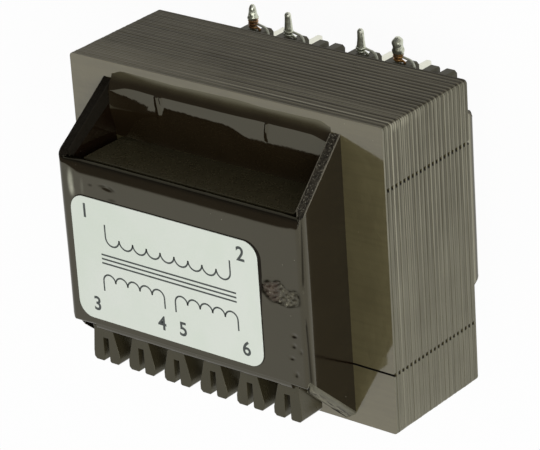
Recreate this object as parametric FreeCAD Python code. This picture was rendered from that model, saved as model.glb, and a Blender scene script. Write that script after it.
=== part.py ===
import FreeCAD, Part
import math
import os

Vector = FreeCAD.Vector

# A small mains transformer that is soldered to a circuit board.
# X runs along the width of the core, Y along its height and Z up from the board.
# The origin is the middle of the seating plane, which is the flat face of the lower cover.
# The label is on the upper cover. All sizes are in millimetres.

# Core of stamped sheets, E shapes and I shapes laid in turn from both sides
CENTRE_LEG = 14.0
WINDOW_WIDTH = 7.0
OUTER_LEG = 7.0
WINDOW_HEIGHT = 21.0
YOKE = 7.0
SHEET = 0.352
SHEET_COUNT = 42
JOINT_GAP = 0.18
SHEET_CORNER = 0.45
JOINT_CORNER = 0.2
SHEET_STAGGER = 0.05

# Covers: one folded part used twice, a plate with two side walls that flare outwards.
# Both sit a little off the middle, towards -X. The cut of the walls' comb end leans through
# the wall, so that the inner face reaches further than the outer one.
COVER_HEIGHT = 8.0
COVER_WALL = 1.25
COVER_FOOT_LAP = 1.95
COVER_SPREAD = 0.7
COVER_SHIFT = 0.35
COVER_FOLD = 0.9
COVER_LIP_RADIUS = 0.85
COVER_EDGE_RADIUS = 0.3
COVER_CUT_LEAN = 0.8
PLATE_COMB_INSET = 0.4
PLATE_OPEN_INSET = 1.4
WALL_COMB_INSET = 0.65
WALL_OPEN_INSET = 1.8

# Bobbin: a tube round the centre leg, two flanges and a wall between the two chambers
LEG_CLEARANCE = 0.15
TUBE_WALL = 0.9
FLANGE = 1.0
DIVIDER = 0.8
COVER_CLEARANCE = 0.2
WINDOW_CLEARANCE = 0.15

# Wire combs of the bobbin, with a slot for a terminal in every tooth
TOOTH_COUNT = 6
TOOTH_ROOT_GAP = 2.8
TOOTH_TIP_GAP = 1.3
TOOTH_SHOULDER = 2.9
TOOTH_LENGTH = 3.95
TOOTH_CORNER = 0.3
TOOTH_END_TAPER = 0.3
SLOT_WIDTH = 0.75
SLOT_LENGTH = 2.9
SLOT_MOUTH = 0.15
RAIL_LIP = 0.3
RAIL_END = 0.55
COMB_FACE_STEP = 0.5
COMB_DEPTH = 3.5
NOTCH_WIDTH = 0.8
NOTCH_DEPTH = 2.2

# Windings and their insulation
WINDING_SIDE_GAP = 1.4
WINDING_FACE_GAP = 1.15
LAYER_TAPE = 0.2
WRAP_TAPE = 0.25
CHAMBER_CLEARANCE = 0.1

# Solder terminals: a strip bent to an L, board pin and wiring post
PIN_WIDTH = 0.7
PIN_DEPTH = 0.9
PIN_REACH = 4.0
PIN_TAPER = 0.5
PIN_SEAT = 0.4
POST_THICKNESS = 0.6
POST_TIP = 0.4
POST_HEIGHT = 1.7
POST_END = 0.72
SECONDARY_TOOTH_NUMBERS = (0, 1, 3, 4)
PRIMARY_TOOTH_NUMBERS = (0, 4)

# Lead-out wires, their turns round the posts, and the solder on the posts
LEAD = 0.3
LEAD_BEND = 0.8
WRAP_TURNS = 3
WRAP_PITCH = 0.36
WRAP_RADIUS = 0.62
SOLDER_RADIUS = 0.55
SOLDER_LENGTH = 1.0
POST_CLEARANCE = 0.15
LEAD_END_GAP = 0.06

# Label on the upper cover
LABEL_LEFT_MARGIN = 1.75
LABEL_RIGHT_MARGIN = 6.1
LABEL_COMB_MARGIN = 1.0
LABEL_OPEN_MARGIN = 3.8
LABEL_CORNER = 1.8
LABEL_THICKNESS = 0.1

# How far a cutting tool runs past what it cuts
CUT_MARGIN = 1.0

# Lengths that follow from the sizes above
leg_half = CENTRE_LEG / 2
window_outer = leg_half + WINDOW_WIDTH
core_half_width = window_outer + OUTER_LEG
window_half = WINDOW_HEIGHT / 2
core_half_height = window_half + YOKE
stack = SHEET * SHEET_COUNT
core_bottom = COVER_HEIGHT
core_top = core_bottom + stack
core_middle = core_bottom + stack / 2
label_face = core_top + COVER_HEIGHT

cover_foot = window_outer + COVER_FOOT_LAP
cover_face = cover_foot + COVER_SPREAD
plate_comb_side = window_half - PLATE_COMB_INSET
plate_open_side = window_half - PLATE_OPEN_INSET
wall_comb_side = core_half_height - WALL_COMB_INSET
wall_open_side = core_half_height - WALL_OPEN_INSET

tube_inner_x = leg_half + LEG_CLEARANCE
tube_inner_z = stack / 2 + LEG_CLEARANCE
tube_x = tube_inner_x + TUBE_WALL
tube_z = tube_inner_z + TUBE_WALL
flange_outer = plate_open_side
flange_inner = flange_outer - FLANGE
flange_half_width = cover_foot - COVER_SHIFT - COVER_WALL - COVER_CLEARANCE
flange_window_half = window_outer - WINDOW_CLEARANCE
flange_reach = COVER_HEIGHT - COVER_WALL - COVER_CLEARANCE
rail_outer = plate_comb_side + COVER_CLEARANCE + RAIL_LIP
comb_reach = COVER_HEIGHT - COMB_FACE_STEP
tooth_tip = rail_outer + TOOTH_LENGTH
tooth_pitch = (2 * (flange_half_width - RAIL_END) + TOOTH_ROOT_GAP) / TOOTH_COUNT
half_tip = (tooth_pitch - TOOTH_TIP_GAP) / 2
slot_end = tooth_tip - SLOT_LENGTH

build_side = window_outer - WINDING_SIDE_GAP - WRAP_TAPE - tube_x
build_face = flange_reach + COVER_CLEARANCE - WINDING_FACE_GAP - WRAP_TAPE - TUBE_WALL - LEG_CLEARANCE

pin_row = slot_end + PIN_SEAT + PIN_DEPTH / 2
turns_start = tooth_tip + POST_CLEARANCE
solder_start = turns_start + WRAP_PITCH * WRAP_TURNS
post_end = solder_start + SOLDER_LENGTH + POST_END


def box(x0, x1, y0, y1, z0, z1):
    """A block between two opposite corners."""
    return Part.makeBox(x1 - x0, y1 - y0, z1 - z0, Vector(x0, y0, z0))


def prism(points, direction):
    """A flat outline through the points, pushed along a direction."""
    return Part.Face(Part.makePolygon(points + [points[0]])).extrude(direction)


def clipped(corners):
    """An outline whose corners (x, y, cut) are clipped by their own cut."""
    outline = []
    count = len(corners)
    for index, (x, y, cut) in enumerate(corners):
        here = Vector(x, y, 0)
        if cut == 0:
            outline.append(here)
            continue
        for other in (corners[index - 1], corners[(index + 1) % count]):
            toward = Vector(other[0] - x, other[1] - y, 0).normalize()
            outline.append(here + toward * cut)
    return outline


def rounded_rectangle(half_x, half_z, radius, y0, y1):
    """A bar along Y with a rounded rectangular section, centred on the leg."""
    bar = box(-half_x, half_x, y0, y1, core_middle - half_z, core_middle + half_z)
    along = [edge for edge in bar.Edges if abs(edge.tangentAt(edge.FirstParameter).y) > 0.9]
    return bar.makeFillet(radius, along)


def mirrored_y(shape):
    return shape.mirror(Vector(0, 0, 0), Vector(0, 1, 0))


def mirrored_to_board(shape):
    """The same shape on the other side of the core's middle plane."""
    return shape.mirror(Vector(0, 0, core_middle), Vector(0, 0, 1))


def turned_cover(shape):
    """The upper cover turned half round the X axis of the core's middle."""
    return mirrored_y(mirrored_to_board(shape))


def stagger(index, phase):
    """How far one sheet of the stack lies off its true place."""
    return Vector(math.sin(index * 2.4 + phase), math.cos(index * 3.7 + phase), 0) * SHEET_STAGGER


def e_sheet(side):
    """Outline of an E sheet whose yoke is on the given side of Y."""
    leg_end = -side * (window_half - JOINT_GAP / 2)
    window_end = side * window_half
    yoke_edge = side * core_half_height
    corners = [
        (-core_half_width, leg_end, JOINT_CORNER),
        (-window_outer, leg_end, 0),
        (-window_outer, window_end, 0),
        (-leg_half, window_end, 0),
        (-leg_half, leg_end, 0),
        (leg_half, leg_end, 0),
        (leg_half, window_end, 0),
        (window_outer, window_end, 0),
        (window_outer, leg_end, 0),
        (core_half_width, leg_end, JOINT_CORNER),
        (core_half_width, yoke_edge, SHEET_CORNER),
        (-core_half_width, yoke_edge, SHEET_CORNER),
    ]
    return clipped(corners)


def i_sheet(side):
    """Outline of an I sheet that lies on the given side of Y."""
    inner = side * (window_half + JOINT_GAP / 2)
    outer = side * core_half_height
    corners = [
        (-core_half_width, inner, JOINT_CORNER),
        (core_half_width, inner, JOINT_CORNER),
        (core_half_width, outer, SHEET_CORNER),
        (-core_half_width, outer, SHEET_CORNER),
    ]
    return clipped(corners)


def sheet_group(outline, first, phase):
    """Every second sheet of the stack, starting from the given one."""
    sheets = []
    for index in range(first, SHEET_COUNT, 2):
        sheet = prism(outline, Vector(0, 0, SHEET))
        sheet.translate(stagger(index, phase) + Vector(0, 0, core_bottom + index * SHEET))
        sheets.append(sheet)
    return Part.makeCompound(sheets)


def cover():
    """The upper cover: a U section run along Y, its walls cut back to the plate."""
    inner_rise = COVER_HEIGHT - COVER_WALL
    inner_foot = cover_foot - COVER_WALL
    inner_face = inner_foot + COVER_SPREAD * inner_rise / COVER_HEIGHT
    section = [
        (-cover_foot, 0), (-cover_face, COVER_HEIGHT), (cover_face, COVER_HEIGHT), (cover_foot, 0),
        (inner_foot, 0), (inner_face, inner_rise), (-inner_face, inner_rise), (-inner_foot, 0),
    ]
    points = [Vector(x, -core_half_height, core_top + z) for x, z in section]
    body = prism(points, Vector(0, core_half_height * 2, 0))
    folds = [edge for edge in body.Edges
             if edge.BoundBox.YLength > core_half_height and edge.BoundBox.ZMin > label_face - 0.01]
    body = body.makeFillet(COVER_FOLD, folds)
    for side in (-1, 1):
        body = body.cut(beyond_wall(side, wall_open_side, plate_open_side, 0))
        body = body.cut(mirrored_y(beyond_wall(side, wall_comb_side, plate_comb_side, COVER_CUT_LEAN)))
    body = square_plate_ends(body)
    body.translate(Vector(-COVER_SHIFT, 0, 0))
    return body


def beyond_wall(side, foot_end, plate_end, lean):
    """What is cut off the +Y end of one wall: all beyond a slope from the foot up to the plate.
    Through the wall, from its inner face outwards, the slope is drawn back by the lean."""
    start = cover_face + CUT_MARGIN
    through = start - cover_foot + COVER_WALL + CUT_MARGIN
    back = lean * (COVER_WALL + CUT_MARGIN) / COVER_WALL
    over = label_face + COVER_WALL
    outline = [
        (foot_end - back, core_top), (plate_end - back, label_face), (plate_end - back, over),
        (core_half_height * 2, over), (core_half_height * 2, core_top),
    ]
    points = [Vector(side * start, y, z) for y, z in outline]
    return prism(points, Vector(-side * through, lean * through / COVER_WALL, 0))


def square_plate_ends(body):
    """Cut the ends of the plate square between the walls, and round their outer edges."""
    inner_face = cover_face - COVER_WALL
    plate_back = label_face - COVER_WALL
    ends = ((-1, plate_comb_side, COVER_EDGE_RADIUS), (1, plate_open_side, COVER_LIP_RADIUS))
    for side, end, radius in ends:
        y0, y1 = sorted((side * end, side * (core_half_height + CUT_MARGIN)))
        body = body.cut(box(-inner_face, inner_face, y0, y1, plate_back, label_face + CUT_MARGIN))
        lips = [edge for edge in body.Edges
                if edge.BoundBox.XLength > inner_face and edge.BoundBox.ZMin > label_face - 0.01
                and abs(edge.CenterOfMass.y - side * end) < 0.01]
        body = body.makeFillet(radius, lips)
    return body


def half_tooth(half_root):
    """The outline of a tooth from its slot round to its root, on the side where X grows."""
    half_slot = SLOT_WIDTH / 2
    return [
        (half_slot, slot_end),
        (half_slot, tooth_tip - SLOT_MOUTH),
        (half_slot + SLOT_MOUTH, tooth_tip),
        (half_tip - TOOTH_CORNER, tooth_tip),
        (half_tip, tooth_tip - TOOTH_CORNER),
        (half_tip, rail_outer + TOOTH_SHOULDER),
        (half_root, rail_outer),
    ]


def tooth(centre, left_root, right_root):
    """One comb tooth on the +Y side, wider at its tip, slotted for a terminal."""
    outline = half_tooth(right_root) + [(-x, y) for x, y in reversed(half_tooth(left_root))]
    base = label_face - COMB_FACE_STEP - COMB_DEPTH
    points = [Vector(centre + x, y, base) for x, y in outline]
    return prism(points, Vector(0, 0, COMB_DEPTH))


def slot_centres():
    first = -tooth_pitch * (TOOTH_COUNT - 1) / 2
    return [first + tooth_pitch * index for index in range(TOOTH_COUNT)]


def comb():
    """A rail with its teeth, built above the core on the +Y side. The outer flanks of the two
    end teeth are nearly straight."""
    outer = core_top + comb_reach
    inner = outer - COMB_DEPTH
    half = flange_half_width
    rail = box(-half, half, flange_outer, rail_outer, inner, core_top + flange_reach)
    lip = box(-half, half, rail_outer - RAIL_LIP, rail_outer, inner, outer)
    half_root = (tooth_pitch - TOOTH_ROOT_GAP) / 2
    end_root = half_tip - TOOTH_END_TAPER
    last = TOOTH_COUNT - 1
    teeth = [tooth(centre, half_root if index else end_root, half_root if index < last else end_root)
             for index, centre in enumerate(slot_centres())]
    return rail.multiFuse([lip] + teeth)


def lead_notches(positions):
    """Notches in rail and flange, above the core on the +Y side, one beside each terminal."""
    notches = []
    outer = core_top + COVER_HEIGHT
    inner = core_top + flange_reach - NOTCH_DEPTH
    for position in positions:
        middle = slot_centres()[position] + tooth_pitch / 2
        notches.append(box(middle - NOTCH_WIDTH / 2, middle + NOTCH_WIDTH / 2,
                           flange_inner - CUT_MARGIN, rail_outer + CUT_MARGIN, inner, outer))
    return Part.makeCompound(notches)


def flange():
    """The flange on the +Y side: a plate, and pads that fill the core windows."""
    z0 = core_bottom - flange_reach
    z1 = core_top + flange_reach
    plate = box(-flange_half_width, flange_half_width, flange_inner, flange_outer, z0, z1)
    for x0, x1 in ((-core_half_width, -flange_window_half), (flange_window_half, core_half_width)):
        plate = plate.cut(box(x0, x1, flange_inner - CUT_MARGIN, flange_outer + CUT_MARGIN,
                              core_bottom, core_top))
    pad_end = window_half - WINDOW_CLEARANCE
    pads = [box(x0, x1, flange_outer, pad_end, core_bottom, core_top)
            for x0, x1 in ((-flange_window_half, -tube_x), (tube_x, flange_window_half))]
    return plate.multiFuse(pads)


def bobbin():
    """Tube, flanges, divider and combs, moulded as one piece."""
    tube = rounded_rectangle(tube_x, tube_z, TUBE_WALL / 2, -flange_outer, flange_outer)
    z0 = core_bottom - flange_reach
    z1 = core_top + flange_reach
    half = DIVIDER / 2
    divider = box(-flange_window_half, flange_window_half, -half, half, z0, z1)
    board_comb = mirrored_to_board(comb())
    secondary_side = board_comb.cut(mirrored_to_board(lead_notches(SECONDARY_TOOTH_NUMBERS)))
    primary_side = board_comb.cut(mirrored_to_board(lead_notches(PRIMARY_TOOTH_NUMBERS)))
    secondary_flange = flange().cut(mirrored_to_board(lead_notches(SECONDARY_TOOTH_NUMBERS)))
    primary_flange = flange().cut(mirrored_to_board(lead_notches(PRIMARY_TOOTH_NUMBERS)))
    body = tube.multiFuse([
        secondary_flange, mirrored_y(primary_flange), divider,
        mirrored_y(comb()), secondary_side, mirrored_y(primary_side),
    ])
    hole = box(-tube_inner_x, tube_inner_x, -core_half_height, core_half_height,
               core_middle - tube_inner_z, core_middle + tube_inner_z)
    return body.cut(hole).removeSplitter()


def wound(depth, y0, y1):
    """Tube and winding together, as a bar, up to a depth (sideways, towards the covers)."""
    side, face = depth
    return rounded_rectangle(tube_x + side, tube_z + face, min(depth) + TUBE_WALL / 2, y0, y1)


def ring(inner, outer, y0, y1):
    """A wound ring on the tube, between two depths of winding."""
    return wound(outer, y0, y1).cut(wound(inner, y0, y1))


def windings():
    """Primary in the -Y chamber, two secondaries in the +Y chamber, and their insulation."""
    near = DIVIDER / 2 + CHAMBER_CLEARANCE
    far = flange_inner - CHAMBER_CLEARANCE
    tube = (0, 0)
    full = (build_side, build_face)
    under_tape = [(build - LAYER_TAPE) / 2 for build in full]
    over_tape = [(build + LAYER_TAPE) / 2 for build in full]
    wrapped = [build + WRAP_TAPE for build in full]
    return {
        "primary_winding": ring(tube, full, -far, -near),
        "primary_wrap": ring(full, wrapped, -far, -near),
        "secondary_winding_1": ring(tube, under_tape, near, far),
        "secondary_layer_tape": ring(under_tape, over_tape, near, far),
        "secondary_winding_2": ring(over_tape, full, near, far),
        "secondary_wrap": ring(full, wrapped, near, far),
    }


def terminal(centre):
    """A terminal of the +Y row: the board pin down, the wiring post out to +Y."""
    half = PIN_WIDTH / 2
    near = pin_row - PIN_DEPTH / 2
    far = pin_row + PIN_DEPTH / 2
    top = POST_HEIGHT + POST_THICKNESS / 2
    post_low = POST_HEIGHT - POST_THICKNESS / 2
    tip_low = POST_HEIGHT - POST_TIP / 2
    tip_high = POST_HEIGHT + POST_TIP / 2
    inset = (PIN_DEPTH - PIN_TAPER) / 2
    side = [
        (near, top), (near, PIN_TAPER - PIN_REACH), (near + inset, -PIN_REACH),
        (far - inset, -PIN_REACH), (far, PIN_TAPER - PIN_REACH), (far, post_low),
        (post_end - PIN_TAPER, post_low), (post_end, tip_low),
        (post_end, tip_high), (post_end - PIN_TAPER, top),
    ]
    points = [Vector(centre - half, y, z) for y, z in side]
    return prism(points, Vector(PIN_WIDTH, 0, 0))


def on_post(profile, centre):
    """A turned solid round the post of a terminal in the +Y row, its profile (radius, y)."""
    points = [Vector(centre + radius, y, POST_HEIGHT) for radius, y in profile]
    points += [Vector(centre, profile[-1][1], POST_HEIGHT), Vector(centre, profile[0][1], POST_HEIGHT)]
    face = Part.Face(Part.makePolygon(points + [points[0]]))
    turned = face.revolve(Vector(centre, 0, POST_HEIGHT), Vector(0, 1, 0), 360)
    return turned.cut(terminal(centre))


def wire_turns(centre):
    """The turns of wire round a post, as one ribbed sleeve."""
    profile = [(WRAP_RADIUS - LEAD / 2, turns_start)]
    for turn in range(WRAP_TURNS):
        middle = turns_start + WRAP_PITCH * (turn + 0.5)
        profile.append((WRAP_RADIUS, middle - WRAP_PITCH / 4))
        profile.append((WRAP_RADIUS, middle + WRAP_PITCH / 4))
        profile.append((WRAP_RADIUS - LEAD / 2, turns_start + WRAP_PITCH * (turn + 1)))
    return on_post(profile, centre)


def solder_bead(centre):
    """Solder that has run over the end of the turns and up the post."""
    steps = 5
    profile = []
    for step in range(steps + 1):
        part = step / steps
        swell = math.sin(math.pi * (0.25 + 0.65 * part))
        profile.append((SOLDER_RADIUS * swell, solder_start + SOLDER_LENGTH * part))
    return on_post(profile, centre)


def lead(centre):
    """A wire from the winding's wrap, out between two teeth and round to the post."""
    radius = LEAD / 2
    x_gap = centre + tooth_pitch / 2
    lying = core_middle - tube_z - build_face - WRAP_TAPE - radius
    turn_y = (turns_start + solder_start) / 2
    start = Vector(x_gap, flange_inner / 2, lying)
    corner = Vector(x_gap, turn_y, lying)
    end = Vector(centre + WRAP_RADIUS + LEAD_END_GAP, turn_y, POST_HEIGHT)
    out = (start - corner).normalize()
    away = (end - corner).normalize()
    half_angle = out.getAngle(away) / 2
    setback = LEAD_BEND / math.tan(half_angle)
    first = corner + out * setback
    last = corner + away * setback
    bisector = (out + away).normalize()
    middle = corner + bisector * (LEAD_BEND / math.sin(half_angle) - LEAD_BEND)
    edges = [
        Part.LineSegment(start, first).toShape(),
        Part.Arc(first, middle, last).toShape(),
        Part.LineSegment(last, end).toShape(),
    ]
    section = Part.Wire(Part.makeCircle(radius, start, Vector(0, 1, 0)))
    return Part.Wire(edges).makePipeShell([section], True, False)


def label():
    """A thin label with rounded corners, flat on the upper cover."""
    plate = box(LABEL_LEFT_MARGIN - cover_face - COVER_SHIFT,
                cover_face - COVER_SHIFT - LABEL_RIGHT_MARGIN,
                LABEL_COMB_MARGIN - plate_comb_side, plate_open_side - LABEL_OPEN_MARGIN,
                label_face, label_face + LABEL_THICKNESS)
    upright = [edge for edge in plate.Edges if edge.BoundBox.ZLength > LABEL_THICKNESS / 2]
    return plate.makeFillet(LABEL_CORNER, upright)


def core_nodes():
    """The last sheet, which the upper cover stands on, has its yoke on the +Y side."""
    last = SHEET_COUNT - 1
    yoke_plus = last % 2
    yoke_minus = 1 - yoke_plus
    return {
        "e_sheets_yoke_plus": sheet_group(e_sheet(1), yoke_plus, 0.0),
        "e_sheets_yoke_minus": sheet_group(e_sheet(-1), yoke_minus, 0.0),
        "i_sheets_minus": sheet_group(i_sheet(-1), yoke_plus, 1.3),
        "i_sheets_plus": sheet_group(i_sheet(1), yoke_minus, 1.3),
    }


def terminal_nodes():
    """Terminals, turns, solder and leads of both rows."""
    centres = slot_centres()
    nodes = {}
    groups = {"wire_turns": [], "solder_beads": [], "secondary_leads": [], "primary_leads": []}
    rows = (("secondary", SECONDARY_TOOTH_NUMBERS, lambda shape: shape),
            ("primary", PRIMARY_TOOTH_NUMBERS, mirrored_y))
    for row, positions, place in rows:
        for number, position in enumerate(positions, start=1):
            centre = centres[position]
            nodes[f"{row}_terminal_{number}"] = place(terminal(centre))
            groups["wire_turns"].append(place(wire_turns(centre)))
            groups["solder_beads"].append(place(solder_bead(centre)))
            groups[f"{row}_leads"].append(place(lead(centre)))
    for name, shapes in groups.items():
        nodes[name] = Part.makeCompound(shapes)
    return nodes


def build():
    upper = cover()
    nodes = core_nodes()
    nodes.update(windings())
    nodes.update(terminal_nodes())
    nodes["bobbin"] = bobbin()
    nodes["upper_cover"] = upper
    nodes["lower_cover"] = turned_cover(upper)
    nodes["label"] = label()
    return nodes


os.makedirs("parts", exist_ok=True)
for name, shape in build().items():
    shape.exportStep(f"parts/{name}.step")
    print(name, len(shape.Solids), "solids,", round(shape.Volume, 2), "mm3, valid", shape.isValid())
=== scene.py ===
import bmesh
import bpy
import numpy as np
from mathutils import Matrix, Vector


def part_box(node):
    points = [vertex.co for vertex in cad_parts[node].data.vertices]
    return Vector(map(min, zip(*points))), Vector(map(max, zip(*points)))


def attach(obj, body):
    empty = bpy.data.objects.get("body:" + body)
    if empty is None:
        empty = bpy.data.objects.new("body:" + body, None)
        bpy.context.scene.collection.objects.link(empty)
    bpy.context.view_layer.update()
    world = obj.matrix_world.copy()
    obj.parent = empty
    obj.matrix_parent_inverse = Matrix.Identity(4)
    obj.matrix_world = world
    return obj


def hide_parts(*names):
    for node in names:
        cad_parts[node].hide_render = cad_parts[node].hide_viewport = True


# Looks of a small mains transformer for a circuit board.
# Lengths here are millimetres in the frame of the solid model, and MM turns them into metres.
# X runs along the width of the core, Y along its height, and Z up from the board to the label.

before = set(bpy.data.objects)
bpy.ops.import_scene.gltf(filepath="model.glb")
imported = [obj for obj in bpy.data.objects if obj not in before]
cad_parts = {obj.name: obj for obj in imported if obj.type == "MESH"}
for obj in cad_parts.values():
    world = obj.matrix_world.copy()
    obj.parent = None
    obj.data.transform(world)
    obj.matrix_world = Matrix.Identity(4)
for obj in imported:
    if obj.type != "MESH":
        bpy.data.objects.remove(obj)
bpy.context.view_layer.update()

MM = 0.001
BODY = "root"


def node_box(*names):
    """Lowest and highest corner of some nodes together, in millimetres."""
    corners = np.array([[list(corner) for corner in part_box(name)] for name in names]) / MM
    return corners[:, 0].min(axis=0), corners[:, 1].max(axis=0)


SHEET_NODES = ("e_sheets_yoke_plus", "e_sheets_yoke_minus", "i_sheets_minus", "i_sheets_plus")
SHEET_COUNT = 42
core_low, core_high = node_box(*SHEET_NODES)
cover_low, cover_high = node_box("upper_cover")
label_low, label_high = node_box("label")
core_top = core_high[2]
core_bottom = core_low[2]
core_middle = (core_top + core_bottom) / 2
sheet_thickness = (core_top - core_bottom) / SHEET_COUNT
plate_face = cover_high[2]
comb_face = node_box("bobbin")[1][2]

# Sizes of the real pieces that the boxes of the nodes don't give. The profile of a sheet's edge
# is pairs of how far it is drawn in and the share of the thickness. SHEET_SHIFT is the share of
# the sheets' true offsets along X and Y.
CENTRE_LEG = 14.0
WINDOW_WIDTH = 7.0
WINDOW_HEIGHT = 21.0
SHEET_CORNER = 0.45
JOINT_CORNER = 0.2
JOINT_GAP = 0.18
SHEET_SHIFT = (0.3, 0.2)
SHEET_STAGGER = 0.05
EDGE_ROLL = 0.035
EDGE_BURR = 0.03
SHEET_PROFILE = ((EDGE_ROLL, 0.0), (EDGE_ROLL * 0.3, 0.10), (0.0, 0.24), (0.0, 0.86),
                 (EDGE_BURR * 0.4, 0.94), (EDGE_BURR, 0.99))

COVER_WALL = 1.25
COVER_SPREAD = 0.7
COVER_FOLD = 0.9
CUT_LEAN = 0.8
PLATE_COMB_SIDE = 10.1
PLATE_OPEN_SIDE = 9.1
LIP_RADIUS = 1.1
LIP_STRETCH = 1.35
LIP_TAPER = (0.6, 0.15)
TAPER_REACH = 2.5
EDGE_RADIUS = 0.3
CUT_RADIUS = 0.1

LABEL_CORNER = 1.8
LABEL_TOP_GAP = 0.012
LABEL_EDGE = 0.02
PRINT_THICKNESS = 0.004
NUMERAL_WEIGHT = 0.045
NUMERAL_SIZE = 2.3
NUMERAL_PLACES = ((-13.3, 3.6), (8.0, 3.6), (-12.6, -7.3), (-3.5, -7.3), (-0.6, -7.3), (8.0, -7.3))

# Winding signs: a coil is (start, half turns, radius, y, way), and a set of ends is (places
# along X, y at the coil, y at the tip)
SIGN_STROKE = 0.2
COILS = ((-10.6, 9, 0.95, 1.15, -1), (-11.4, 5, 0.85, -4.2, 1), (-1.4, 5, 0.85, -4.2, 1))
CORE_LINES = (-1.05, -1.55, -2.05)
CORE_LINE_X = (-11.4, -2.0, 7.1)
COIL_ENDS = (((-10.6, 6.5), 1.15, 2.6), ((-11.4, -2.9, -1.4, 7.1), -4.2, -5.4))

# The dark line painted round the label as its shadow: its width at the left, right, lower and
# upper side, and between which two heights it gets wider on the right
LABEL_RIM = (0.04, 0.42, 0.03, 0.13)
RIM_NARROW = -2.0
RIM_WIDE = 1.5

BOBBIN_ROUNDING = 0.12
PIN_ROW = 12.5
POST_HEIGHT = 1.7
POST_BEND = 0.55
TOOTH_TIP = 14.55
POST_END = 17.5
PIN_TIP = -4.0
COIL_RADIUS = 0.46
COIL_PITCH = 0.34
COIL_TAIL = (0.45, -0.25, 0.0)
WIRE_RADIUS = 0.15

cover_middle = (cover_low[0] + cover_high[0]) / 2
cover_rise = plate_face - core_top
fold_lean = np.arctan2(COVER_SPREAD, cover_rise)
fold_setback = COVER_FOLD * np.tan((np.pi / 2 + fold_lean) / 2)
cover_face = (cover_high[0] - cover_low[0]) / 2 + fold_setback - COVER_FOLD
cover_foot = cover_face - COVER_SPREAD
inner_foot = cover_foot - COVER_WALL


# Surfaces

def ripple(points, wavelength, seed, waves=28):
    """A smooth uneven field from -1 to 1: a sum of sine waves of about one wavelength,
    each along its own direction and with its own start, drawn from the seed."""
    draw = np.random.default_rng(seed)
    directions = draw.normal(size=(3, waves))
    directions /= np.linalg.norm(directions, axis=0)
    lengths = wavelength * draw.uniform(0.7, 1.6, waves)
    starts = draw.uniform(0, 2 * np.pi, waves)
    phase = points @ (directions * 2 * np.pi / lengths) + starts
    return np.sin(phase).sum(axis=-1) / np.sqrt(waves) * 0.7


def ripple_along(x, wavelength, seed):
    """The same uneven field where only the place along X counts."""
    return ripple(np.stack([x, x * 0, x * 0], axis=-1), wavelength, seed)


def smooth_step(value, low, high):
    """0 below low, 1 above high, and the cubic 3t^2 - 2t^3 in between."""
    part = np.clip((value - low) / (high - low), 0, 1)
    return part * part * (3 - 2 * part)


def grid_faces(rows, columns, close_rows=False, close_columns=False):
    """Quads between neighbours of a grid of points; a closed direction joins its ends."""
    i, j = np.meshgrid(np.arange(rows if close_rows else rows - 1),
                       np.arange(columns if close_columns else columns - 1), indexing="ij")
    i_next = (i + 1) % rows
    j_next = (j + 1) % columns
    quads = [i * columns + j, i_next * columns + j, i_next * columns + j_next, i * columns + j_next]
    return np.stack(quads, axis=-1).reshape(-1, 4)


def signed_volume(points, quads):
    """Sum over the faces of the volume between each and the origin, by its two triangles."""
    a, b, c, d = (points[quads[:, k]] for k in range(4))
    first = np.einsum("ij,ij->i", a, np.cross(b, c))
    second = np.einsum("ij,ij->i", a, np.cross(c, d))
    return (first + second).sum() / 6


def piece(name, points, quads, caps, finish, replaces=(), smooth=True, angle=40):
    """A mesh object from points in millimetres, quads and flat end caps, set on the body.
    A shape that is inside out has all its faces turned round."""
    points = np.asarray(points, float).reshape(-1, 3)
    centred = points - points.mean(axis=0)
    if signed_volume(centred, quads) < 0:
        quads = quads[:, ::-1]
        caps = [cap[::-1] for cap in caps]
    mesh = bpy.data.meshes.new(name)
    faces = [list(map(int, quad)) for quad in quads] + [list(map(int, cap)) for cap in caps]
    mesh.from_pydata((points * MM).tolist(), [], faces)
    mesh.validate()
    return settle(name, mesh, finish, replaces, smooth, angle)


def bar(name, rings, finish, replaces=(), angle=40):
    """A piece from rings of points one after another, closed by a flat cap at either end."""
    rows, columns = rings.shape[:2]
    caps = [np.arange(columns)[::-1], np.arange(columns) + (rows - 1) * columns]
    quads = grid_faces(rows, columns, close_columns=True)
    return piece(name, rings, quads, caps, finish, replaces, angle=angle)


def placed(name, data):
    """A new object in the scene for a mesh, a curve, a lamp or a camera."""
    made = bpy.data.objects.new(name, data)
    bpy.context.scene.collection.objects.link(made)
    return made


def settle(name, mesh, finish, replaces=(), smooth=True, angle=40):
    """An object for a finished mesh, with its material, body and the nodes it stands for."""
    if smooth:
        mesh.shade_smooth()
        mesh.set_sharp_from_angle(angle=np.radians(angle))
    made = placed(name, mesh)
    for material in finish if isinstance(finish, list) else [finish]:
        mesh.materials.append(material)
    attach(made, BODY)
    if replaces:
        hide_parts(*replaces)
    return made


def at_heights(outlines, heights):
    """Rings of points from flat outlines, each at its height."""
    return np.stack([np.column_stack([outline, np.full(len(outline), height)])
                     for outline, height in zip(outlines, heights)])


def along_line(line):
    """The length of a line up to each of its points, and its direction there."""
    length = np.concatenate([[0], np.cumsum(np.linalg.norm(np.diff(line, axis=0), axis=1))])
    step = np.gradient(line, axis=0)
    return length, step / np.linalg.norm(step, axis=1)[:, None]


# Shader values

class Value:
    """A number, colour or vector that varies over a surface. Arithmetic on it adds Math nodes."""

    def __init__(self, paint, socket):
        self.paint = paint
        self.socket = socket

    def __add__(self, other):
        return self.paint.maths("ADD", self, other)

    __radd__ = __add__

    def __sub__(self, other):
        return self.paint.maths("SUBTRACT", self, other)

    def __rsub__(self, other):
        return self.paint.maths("SUBTRACT", other, self)

    def __mul__(self, other):
        return self.paint.maths("MULTIPLY", self, other)

    __rmul__ = __mul__

    def __truediv__(self, other):
        return self.paint.maths("DIVIDE", self, other)

    def __gt__(self, other):
        return self.paint.maths("GREATER_THAN", self, other)


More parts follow.
